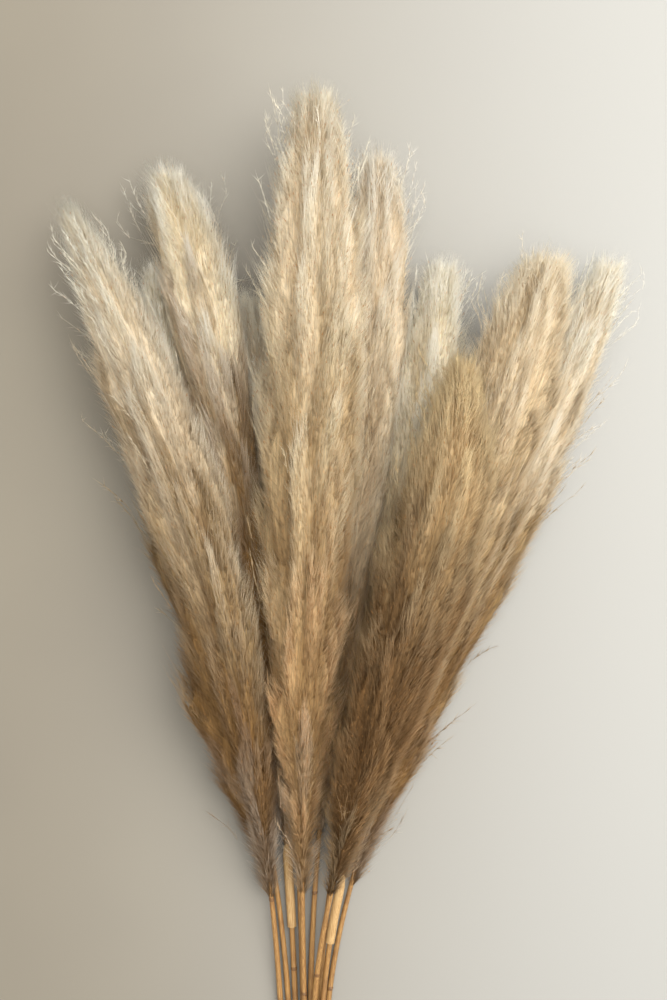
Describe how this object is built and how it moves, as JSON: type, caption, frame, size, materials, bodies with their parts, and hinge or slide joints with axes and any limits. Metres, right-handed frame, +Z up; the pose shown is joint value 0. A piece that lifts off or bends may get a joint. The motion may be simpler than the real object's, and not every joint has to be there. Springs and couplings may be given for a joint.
{
  "type": "bundle of dried pampas grass",
  "caption": "Loose bundle of dried cream pampas grass plumes on straw stalks, laid down flat with the plumes fanned out.",
  "frame": {"origin": "centre of the base rectangle of the bounding box, on the surface the bundle lies on, to within a few millimetres", "axes": "+Y from the cut ends of the stalks to the tips of the plumes, +Z up from the surface, +X to the right seen from above with the tips away"},
  "size_m": [0.6283, 1.105, 0.1968],
  "materials": {
    "plume": "soft feathery dried grass",
    "stalk": "dry straw",
    "leaf_sheath": "papery dried leaf"
  },
  "bodies": {
    "root": {"plume_far_left": "plume", "stalk_far_left": "stalk", "plume_left_inner": "plume", "stalk_left_inner": "stalk", "plume_left_tall": "plume", "stalk_left_tall": "stalk", "plume_left_short": "plume", "stalk_left_short": "stalk", "plume_centre_tall": "plume", "stalk_centre_tall": "stalk", "plume_centre_right": "plume", "stalk_centre_right": "stalk", "plume_right_pale": "plume", "stalk_right_pale": "stalk", "plume_right_short": "plume", "stalk_right_short": "stalk", "plume_right_large": "plume", "stalk_right_large": "stalk", "plume_far_right": "plume", "stalk_far_right": "stalk", "leaf_sheath_left_tall": "leaf_sheath", "leaf_sheath_right_large": "leaf_sheath"}
  },
  "joints": []
}
